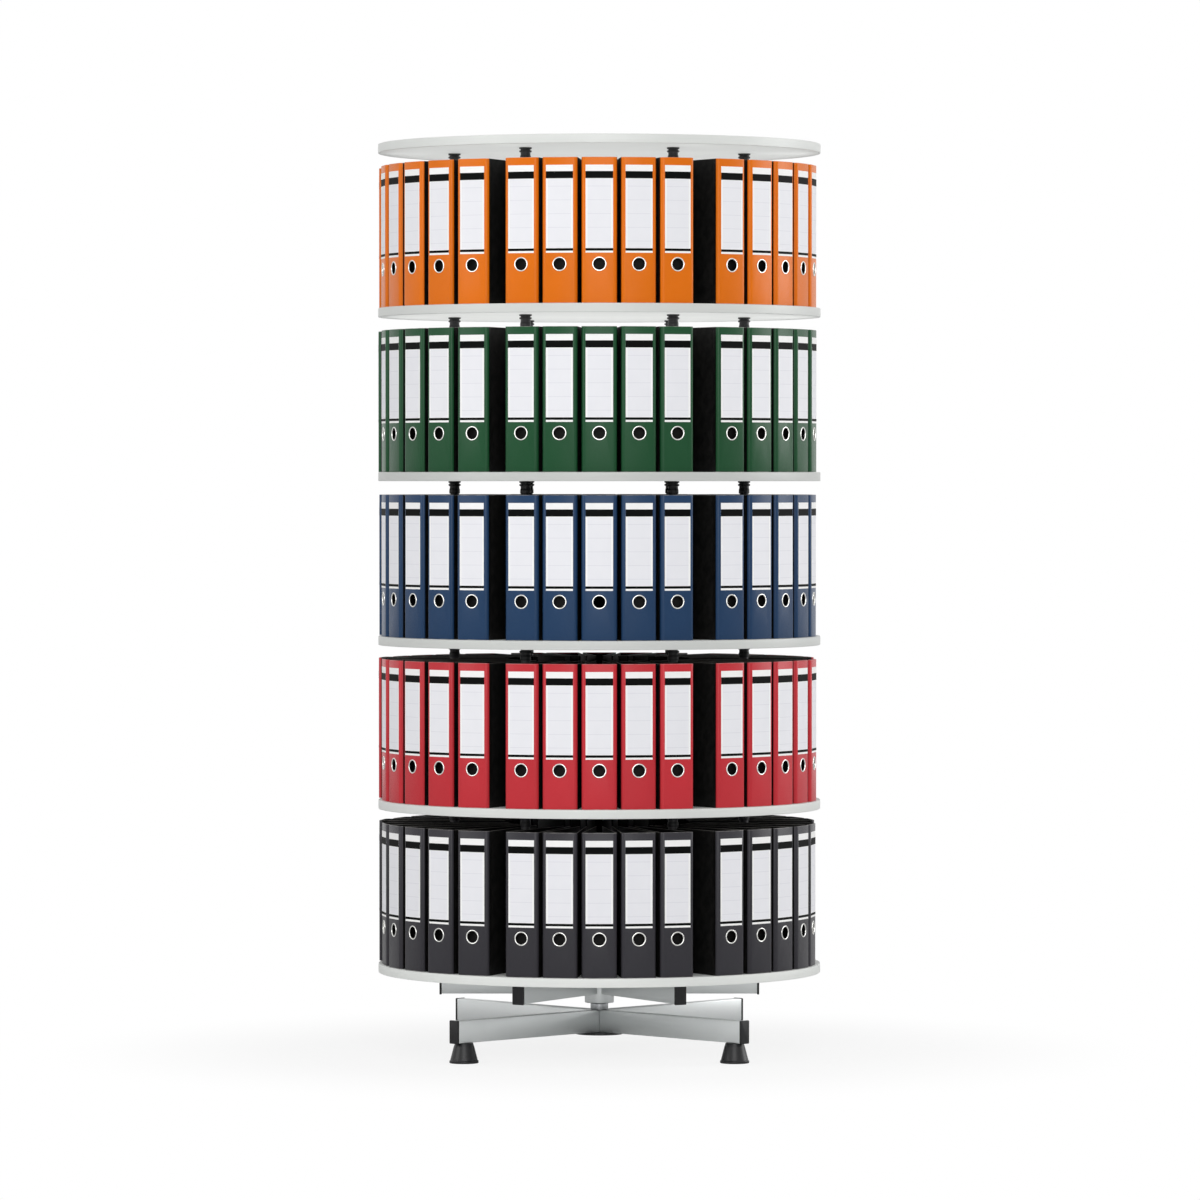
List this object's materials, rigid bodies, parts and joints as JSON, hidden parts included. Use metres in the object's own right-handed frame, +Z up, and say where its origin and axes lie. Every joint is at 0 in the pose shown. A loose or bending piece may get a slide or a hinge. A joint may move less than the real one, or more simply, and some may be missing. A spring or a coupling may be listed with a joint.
{
  "type": "rotary filing cabinet",
  "caption": "Free-standing rotary filing column: round shelves of lever-arch files on posts, turning as one stack on a four-armed floor cross with levelling feet.",
  "frame": {"origin": "on the floor, under the axis of the pivot spindle", "axes": "+Z up along the pivot spindle, -Y to the front that the picture shows, +X to the right"},
  "size_m": [1, 1, 2.052],
  "materials": {
    "board_white": "light grey melamine-faced board with a matching edge band",
    "silver_paint": "satin silver-grey powder coat",
    "black_plastic": "moulded black plastic, soft sheen",
    "post_black": "black coated tube and collars",
    "bearing_steel": "ground bearing steel",
    "bush_bronze": "sintered bronze",
    "file_charcoal": "charcoal plastic-covered board",
    "file_red": "red plastic-covered board",
    "file_blue": "dark blue plastic-covered board",
    "file_green": "dark green plastic-covered board",
    "file_orange": "orange plastic-covered board"
  },
  "bodies": {
    "floor_base": {"base_cross": "silver_paint", "base_cap_1": "black_plastic", "base_cap_2": "black_plastic", "base_cap_3": "black_plastic", "base_cap_4": "black_plastic", "pivot_spindle": "bearing_steel", "bearing_lower_race": "bearing_steel", "bearing_ball_cage": "bush_bronze", "spindle_nut": "bearing_steel"},
    "turning_column": {"turntable_star": "silver_paint", "bearing_upper_race": "bearing_steel", "guide_bush": "bush_bronze", "top_cover": "board_white", "shelf_1": "board_white", "shelf_2": "board_white", "shelf_3": "board_white", "shelf_4": "board_white", "shelf_5": "board_white", "post_1": "post_black", "post_2": "post_black", "post_3": "post_black", "post_4": "post_black", "post_5": "post_black", "post_6": "post_black", "files_1_front": "file_charcoal", "files_1_right_front": "file_charcoal", "files_1_right_back": "file_charcoal", "files_1_back": "file_charcoal", "files_1_left_back": "file_charcoal", "files_1_left_front": "file_charcoal", "files_2_front": "file_red", "files_2_right_front": "file_red", "files_2_right_back": "file_red", "files_2_back": "file_red", "files_2_left_back": "file_red", "files_2_left_front": "file_red", "files_3_front_left": "file_blue", "files_3_front_right": "file_blue", "files_3_right_front": "file_blue", "files_3_right_back": "file_blue", "files_3_back": "file_blue", "files_3_left_back": "file_blue", "files_3_left_front": "file_blue", "files_4_front": "file_green", "files_4_right_front": "file_green", "files_4_right_back": "file_green", "files_4_back": "file_green", "files_4_left_back": "file_green", "files_4_left_front": "file_green", "files_5_front": "file_orange", "files_5_right_front": "file_orange", "files_5_right_back": "file_orange", "files_5_back": "file_orange", "files_5_left_back": "file_orange", "files_5_left_front": "file_orange"},
    "drawn_file": {"pull_out_file": "file_blue"},
    "levelling_foot_1": {"foot_1": "black_plastic"},
    "levelling_foot_2": {"foot_2": "black_plastic"},
    "levelling_foot_3": {"foot_3": "black_plastic"},
    "levelling_foot_4": {"foot_4": "black_plastic"}
  },
  "joints": [
    {"name": "column_turn", "type": "hinge", "parent": "floor_base", "child": "turning_column", "pos_m": [0, 0, 0.12], "axis": [0, 0, 1], "continuous": true},
    {"name": "file_slide", "type": "slide", "parent": "turning_column", "child": "drawn_file", "axis": [0, -1, 0], "range_m": [0, 0.25]},
    {"name": "foot_1_level", "type": "slide", "parent": "floor_base", "child": "levelling_foot_1", "axis": [0, 0, -1], "range_m": [0, 0.012]},
    {"name": "foot_2_level", "type": "slide", "parent": "floor_base", "child": "levelling_foot_2", "axis": [0, 0, -1], "range_m": [0, 0.012]},
    {"name": "foot_3_level", "type": "slide", "parent": "floor_base", "child": "levelling_foot_3", "axis": [0, 0, -1], "range_m": [0, 0.012]},
    {"name": "foot_4_level", "type": "slide", "parent": "floor_base", "child": "levelling_foot_4", "axis": [0, 0, -1], "range_m": [0, 0.012]}
  ]
}
